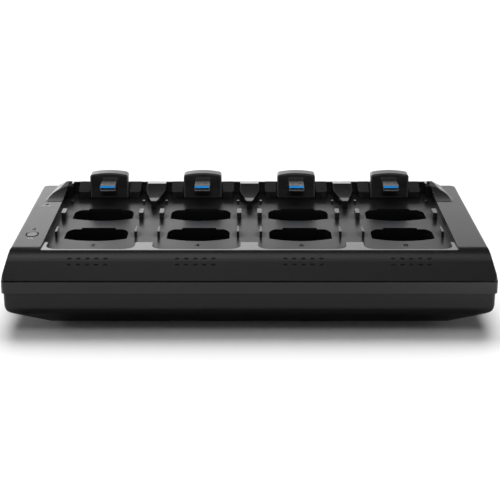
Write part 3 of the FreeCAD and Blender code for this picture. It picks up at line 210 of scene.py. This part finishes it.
def board_material(name):
    """Green solder mask over fine copper tracks."""
    material, graph, shader = new_material(name)
    where = graph.add("TexCoord").outputs["Object"]
    tracks = graph.add("TexBrick", {"Scale": 260, "Mortar Size": 0.02, "Brick Width": 1.7, "Row Height": 0.4})
    graph.join(where, tracks.inputs["Vector"])
    colour = graph.blend(tracks.outputs["Fac"], (0.012, 0.09, 0.045), (0.03, 0.17, 0.08))
    mottled = graph.blend(graph.noise(6 * MM), colour, (0.01, 0.07, 0.035))
    graph.join(mottled, shader.inputs["Base Color"])
    graph.join(graph.bumped(tracks.outputs["Fac"], 0.3, 0.03 * MM), shader.inputs["Normal"])
    graph.join(graph.spread(graph.noise(12 * MM), 0.28, 0.4), shader.inputs["Roughness"])
    return material


def tongue_material(name):
    """Blue plastic of a plug's tongue, with shade painted dark navy where it goes into the shell."""
    material, graph, shader = new_material(name)
    rounded = graph.add("Bevel", {"Radius": 0.12 * MM}, samples=4).outputs["Normal"]
    grain = graph.noise(0.3 * MM, 3.0)
    graph.join(graph.bumped(grain, 0.1, 0.01 * MM, rounded), shader.inputs["Normal"])
    blue = graph.blend(grain, (0.018, 0.33, 0.9), (0.022, 0.38, 1.0))
    split = graph.add("SeparateXYZ")
    graph.join(graph.add("TexCoord").outputs["Object"], split.inputs["Vector"])
    # painted shade: the blue turns dark navy from 0.6 to 2 mm behind the tongue's front, inside the shell
    depth = graph.spread(split.outputs["Y"], 0.0, 1.0, TONGUE_FRONT + 0.6 * MM, TONGUE_FRONT + 2 * MM)
    graph.join(graph.blend(depth, blue, (0.002, 0.008, 0.02)), shader.inputs["Base Color"])
    graph.join(graph.spread(graph.noise(2 * MM), 0.26, 0.34), shader.inputs["Roughness"])
    return material


def button_material(name):
    """Fine-grained grey plastic of the button's top, with painted shade down in its well: black and without
    reflection below the flange.
    """
    material, graph, shader = new_material(name)
    rounded = graph.add("Bevel", {"Radius": 0.3 * MM}, samples=4).outputs["Normal"]
    grain = graph.noise(0.4 * MM, 3.0)
    graph.join(graph.bumped(grain, 0.15, 0.01 * MM, rounded), shader.inputs["Normal"])
    split = graph.add("SeparateXYZ")
    graph.join(graph.add("TexCoord").outputs["Object"], split.inputs["Vector"])
    # painted shade: below the flange top the button turns black and loses its reflection, as its well shades
    # it
    height = graph.spread(split.outputs["Z"], 0.0, 1.0, FLANGE_TOP - 0.5 * MM, FLANGE_TOP - 0.1 * MM)
    grey = graph.blend(grain, (0.045, 0.045, 0.046), (0.055, 0.055, 0.056))
    graph.join(graph.blend(height, (0.001, 0.001, 0.001), grey), shader.inputs["Base Color"])
    graph.join(graph.spread(height, 0.02, 0.6, 0.0, 1.0), shader.inputs["Specular IOR Level"])
    graph.join(graph.spread(graph.noise(3 * MM), 0.2, 0.26), shader.inputs["Roughness"])
    return material


def light_guide(name):
    """Smoked clear plastic with a frosted skin."""
    material, graph, shader = new_material(name)
    shader.inputs["Transmission Weight"].default_value = 0.35
    shader.inputs["Specular IOR Level"].default_value = 0.2
    haze = graph.noise(1.2 * MM, 4.0)
    graph.join(graph.blend(haze, (0.003, 0.003, 0.0032), (0.007, 0.007, 0.0074)), shader.inputs["Base Color"])
    graph.join(graph.spread(haze, 0.22, 0.4), shader.inputs["Roughness"])
    rounded = graph.add("Bevel", {"Radius": 0.15 * MM}, samples=4).outputs["Normal"]
    graph.join(graph.bumped(haze, 0.2, 0.02 * MM, rounded), shader.inputs["Normal"])
    return material


def ribbon_material(name):
    """Flat cable: parallel ridges along its run."""
    material, graph, shader = new_material(name)
    where = graph.add("TexCoord").outputs["Object"]
    ridges = graph.add("TexWave", {"Scale": 250, "Distortion": 0.2}, bands_direction="X")
    graph.join(where, ridges.inputs["Vector"])
    graph.join(graph.blend(ridges.outputs["Fac"], (0.3, 0.3, 0.32), (0.5, 0.5, 0.52)),
               shader.inputs["Base Color"])
    graph.join(graph.bumped(ridges.outputs["Fac"], 0.5, 0.2 * MM), shader.inputs["Normal"])
    graph.join(graph.spread(graph.noise(5 * MM), 0.45, 0.6), shader.inputs["Roughness"])
    return material


MATERIALS = {
    "shell_black": plastic("shell_black", (0.002, 0.002, 0.0022), 0.2, bump=0.12, specular=0.27),
    "band_black": plastic("band_black", (0.003, 0.003, 0.0032), 0.2, bump=0.1, specular=0.36),
    "foot_rubber": plastic("foot_rubber", (0.012, 0.012, 0.012), 0.85, grain=0.9 * MM, bump=0.8,
                           specular=0.25),
    "cover_black": plastic("cover_black", (0.0065, 0.0065, 0.0068), 0.25, bump=0.06, uneven=0.02),
    "deck_black": plastic("deck_black", (0.0055, 0.0055, 0.0058), 0.3, bump=0.08, uneven=0.02,
                          painted_occlusion_shade=True),
    "rail_black": plastic("rail_black", (0.008, 0.008, 0.0083), 0.16, bump=0.08, uneven=0.02),
    "liner_black": plastic("liner_black", (0.003, 0.003, 0.003), 0.5, bump=0.4, specular=0.3),
    "bracket_black": plastic("bracket_black", (0.009, 0.009, 0.009), 0.34, bump=0.3),
    "arm_gloss": plastic("arm_gloss", (0.013, 0.013, 0.0135), 0.12, bump=0.03, uneven=0.03, coat=0.4),
    "cap_grey": plastic("cap_grey", (0.035, 0.035, 0.036), 0.34, bump=0.3),
    "plug_steel": metal("plug_steel", (0.72, 0.72, 0.74), 0.2, (1, 0.08, 1), edge=0.3 * MM, bare=0.82),
    "tongue_blue": tongue_material("tongue_blue"),
    "hinge_metal": metal("hinge_metal", (0.1, 0.1, 0.103), 0.42, (0.1, 1, 1)),
    "gold_contact": metal("gold_contact", (0.86, 0.6, 0.22), 0.22, (1, 1, 0.15)),
    "light_guide": light_guide("light_guide"),
    "led_chip": plastic("led_chip", (0.72, 0.7, 0.55), 0.3, edge=0.1 * MM),
    "bridge_black": plastic("bridge_black", (0.0055, 0.0055, 0.0058), 0.14, bump=0.06, uneven=0.03),
    "guide_black": plastic("guide_black", (0.012, 0.012, 0.012), 0.16, bump=0.04, specular=0.9, uneven=0.02),
    "circuit_board": board_material("circuit_board"),
    "connector_white": plastic("connector_white", (0.7, 0.69, 0.63), 0.45),
    "ribbon_grey": ribbon_material("ribbon_grey"),
    "socket_black": plastic("socket_black", (0.008, 0.008, 0.008), 0.4, bump=0.3),
    "screw_black": metal("screw_black", (0.05, 0.05, 0.052), 0.42, (1, 1, 1), 0.35),
    "button_grey": button_material("button_grey"),
    "mark_grey": plastic("mark_grey", (0.34, 0.34, 0.35), 0.5, edge=0.05 * MM),
    "mark_dark": plastic("mark_dark", (0.002, 0.002, 0.002), 0.9, edge=0.05 * MM, specular=0.05),
}

# nodes whose moulding is smoother than the rest of their slot
FINER = {"rear_bridge": "bridge_black", "deck_guides": "guide_black"}

for part in frame["record"]["subparts"]:
    slots = frame["nodes"][part["node"]].data.materials
    slots.clear()
    slots.append(MATERIALS[FINER.get(part["node"], part["material_slot"])])


# ---------------------------------------------------------------- small pieces

def piece(name, mesh, body, slot, material=None):
    """Puts a finished mesh into the scene as a piece that rides on a body."""
    thing = bpy.data.objects.new(name, mesh)
    scene.collection.objects.link(thing)
    mesh.materials.clear()
    mesh.materials.append(MATERIALS[material or slot])
    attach(thing, body)
    return thing


def ribbon_strip(form, path, width, thick, closed):
    """Adds a flat strip of even width along a path of (x, y) points, thickened upwards from z = 0."""
    count = len(path)
    rims = []
    for index, (x, y) in enumerate(path):
        before = Vector(path[index - 1] if closed or index else path[index])
        after = Vector(path[(index + 1) % count] if closed or index < count - 1 else path[index])
        along = (after - before).normalized()
        across = Vector((-along.y, along.x)) * width / 2
        rims.append([form.verts.new((x + side * across.x, y + side * across.y, level))
                     for side, level in ((1, 0), (-1, 0), (-1, thick), (1, thick))])
    for index in range(count if closed else count - 1):
        near, far = rims[index], rims[(index + 1) % count]
        for corner in range(4):
            after = (corner + 1) % 4
            form.faces.new((near[corner], near[after], far[after], far[corner]))
    if not closed:
        form.faces.new(rims[0][::-1])
        form.faces.new(rims[-1])


def mark_mesh(name, paths, width, thick, place, upright=False):
    """Mesh of several strips, lying flat at a place or standing against a face that looks forwards."""
    mesh = bpy.data.meshes.new(name)
    form = bmesh.new()
    for path, closed in paths:
        ribbon_strip(form, path, width, thick, closed)
    for vertex in form.verts:
        x, y, z = vertex.co
        vertex.co = Vector(place) + (Vector((x, -z, y)) if upright else Vector((x, y, z)))
    bmesh.ops.recalc_face_normals(form, faces=form.faces)
    form.to_mesh(mesh)
    form.free()
    return mesh


def arc(radius, start, end, steps, centre=(0, 0)):
    """Points on an arc, angles in degrees."""
    turns = [math.radians(start + (end - start) * step / steps) for step in range(steps + 1)]
    return [(centre[0] + radius * math.cos(turn), centre[1] + radius * math.sin(turn)) for turn in turns]


def square(x, y, half):
    return [(x - half, y - half), (x + half, y - half), (x + half, y + half), (x - half, y + half)]


def numeral(text, height, thick, place):
    """One generic numeral as a thin closed mesh."""
    curve = bpy.data.curves.new("numeral_" + text, "FONT")
    curve.body = text
    curve.size = height * FONT_SIZE_PER_HEIGHT
    curve.extrude = thick / 2
    curve.offset = NUMERAL_FATTENING
    curve.align_x = "CENTER"
    curve.align_y = "CENTER"
    holder = bpy.data.objects.new("numeral_holder", curve)
    scene.collection.objects.link(holder)
    bpy.context.view_layer.update()
    mesh = bpy.data.meshes.new_from_object(holder.evaluated_get(bpy.context.evaluated_depsgraph_get()))
    bpy.data.objects.remove(holder)
    for vertex in mesh.vertices:
        vertex.co += Vector(place)
    return mesh


def middle(node):
    low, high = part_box(node)
    return (low + high) / 2


def make_numerals():
    """Bay numbers on the deck in front of the near pockets."""
    for bay in BAYS:
        name = f"pocket_liner_{bay}"
        spot = (middle(name).x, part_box(name)[0].y - NUMERAL_GAP, DECK_TOP + NUMERAL_LIFT)
        piece(f"pocket_numeral_{bay}", numeral(str(2 * bay), NUMERAL_HEIGHT, INK, spot),
              "case", "deck_black", "mark_dark")


def make_flange_marks():
    """Generic power and network signs, printed on the left flange in front of what they name."""
    button = middle("power_button")
    spot = (button.x, button.y - POWER_SIGN_GAP, FLANGE_TOP)
    sign = [(arc(POWER_SIGN_RADIUS, 120, 420, 20), False), ([(0, 0.2 * MM), (0, 2.1 * MM)], False)]
    piece("power_sign", mark_mesh("power_sign", sign, SIGN_LINE, INK, spot),
          "case", "cover_black", "mark_grey")
    low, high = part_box("flange_light_pipes")
    spot = ((low.x + high.x) / 2, high.y - NETWORK_SIGN_GAP, FLANGE_TOP)
    far = NETWORK_SIGN_HALF
    sign = [(square(x, y, 0.75 * MM), True) for x, y in ((-far, -0.9 * MM), (far, -0.9 * MM), (0, 1.3 * MM))]
    sign += [([(-far, 0.4 * MM), (far, 0.4 * MM)], False)]
    piece("network_sign", mark_mesh("network_sign", sign, SIGN_LINE, INK, spot),
          "case", "cover_black", "mark_grey")


def make_arm_panels():
    """Thin raised outline moulded into each arm's face below the plug."""
    for bay in BAYS:
        low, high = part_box(f"connector_arm_{bay}")
        half, top, foot = PANEL_HALF, high.z - PANEL_DROP, high.z - PANEL_FOOT_DROP
        outline = [((-half, foot), (half, foot), (half, top), (-half, top)), True]
        place = ((low.x + high.x) / 2, low.y, 0)
        mesh = mark_mesh("arm_panel", [outline], PANEL_LINE, PANEL_RELIEF, place, True)
        raised = piece(f"arm_panel_{bay}", mesh, f"arm_{bay}", "arm_gloss")
        bevel = raised.modifiers.new("soft_edges", "BEVEL")
        bevel.width = PANEL_ROUNDING
        bevel.segments = 2


make_numerals()
make_flange_marks()
make_arm_panels()


# ---------------------------------------------------------------- stage, light and camera

def make_floor():
    mesh = bpy.data.meshes.new("floor")
    form = bmesh.new()
    bmesh.ops.create_grid(form, x_segments=8, y_segments=8, size=FLOOR_HALF)
    form.to_mesh(mesh)
    form.free()
    material, graph, shader = new_material("floor_paper")
    graph.join(graph.blend(graph.noise(0.4, 2.0), (0.86, 0.86, 0.86), (0.88, 0.88, 0.88)),
               shader.inputs["Base Color"])
    shader.inputs["Roughness"].default_value = 0.7
    shader.inputs["Specular IOR Level"].default_value = 0.15
    mesh.materials.append(material)
    floor = bpy.data.objects.new("floor", mesh)
    scene.collection.objects.link(floor)


def make_world():
    """Surroundings bright near the horizon and dark above about 25 degrees, with a patch of light overhead.

    They are stronger behind the charger than in front of it, and stronger on the left than on the right."""
    world = bpy.data.worlds.new("studio")
    scene.world = world
    world.use_nodes = True
    graph = Graph(world.node_tree)
    direction = graph.add("TexCoord").outputs["Generated"]
    split = graph.add("SeparateXYZ")
    graph.join(direction, split.inputs["Vector"])
    ramp = graph.add("ValToRGB")
    graph.join(split.outputs["Z"], ramp.inputs["Fac"])
    elements = ramp.color_ramp.elements
    while len(elements) < len(SKY_LEVELS):
        elements.new(0.5)
    for element, (position, value) in zip(elements, SKY_LEVELS):
        element.position = position
        element.color = (value, value, value, 1)
    background = graph.add("Background")
    graph.join(ramp.outputs["Color"], background.inputs["Color"])
    behind = graph.spread(split.outputs["Y"], 0.35, 2.3, -0.5, 0.15)
    leftward = graph.spread(split.outputs["X"], 1.1, 0.62, -0.16, 0.16)
    strength = graph.add("Math", operation="MULTIPLY")
    graph.join(behind, strength.inputs[0])
    graph.join(leftward, strength.inputs[1])
    graph.join(strength.outputs["Value"], background.inputs["Strength"])
    output = graph.add("OutputWorld")
    graph.join(background.outputs["Background"], output.inputs["Surface"])


def sun(name, strength, spread, azimuth, elevation):
    """Broad soft light from a direction: azimuth 0 is the front, 90 the right."""
    lamp = bpy.data.lights.new(name, "SUN")
    lamp.energy = strength
    lamp.angle = math.radians(spread)
    holder = bpy.data.objects.new(name, lamp)
    holder.visible_glossy = False
    scene.collection.objects.link(holder)
    turn, rise = math.radians(azimuth), math.radians(elevation)
    towards = Vector((math.sin(turn) * math.cos(rise), -math.cos(turn) * math.cos(rise), math.sin(rise)))
    holder.rotation_euler = towards.to_track_quat("Z", "Y").to_euler()


def panel(name, power, size, spread, place, target):
    """Soft rectangular lamp at a place, turned towards a target."""
    lamp = bpy.data.lights.new(name, "AREA")
    lamp.shape = "RECTANGLE"
    lamp.energy = power
    lamp.size, lamp.size_y = size
    lamp.spread = math.radians(spread)
    holder = bpy.data.objects.new(name, lamp)
    holder.location = place
    holder.rotation_euler = (Vector(place) - Vector(target)).to_track_quat("Z", "Y").to_euler()
    holder.visible_glossy = False
    scene.collection.objects.link(holder)


def make_camera():
    camera = bpy.data.objects.new("camera", bpy.data.cameras.new("camera"))
    scene.collection.objects.link(camera)
    camera.location = CAMERA_PLACE
    camera.rotation_euler = (math.radians(CAMERA_PITCH), 0, 0)
    camera.data.lens = CAMERA_LENS
    camera.data.sensor_width = CAMERA_SENSOR
    camera.data.shift_x = CAMERA_SHIFT
    scene.camera = camera


make_floor()
make_world()
sun("back_light", strength=3.9, spread=44, azimuth=180, elevation=49)
sun("top_light", strength=0.5, spread=60, azimuth=180, elevation=85)
panel("right_floor_light", power=3.5, size=(0.2, 0.2), spread=70,
      place=(0.34, -0.42, 0.35), target=(0.34, -0.42, 0))
panel("arm_light", power=0.09, size=(0.34, 0.04), spread=30,
      place=(0, -0.3, 0.3), target=(0, 0.07, 0.055))
make_camera()
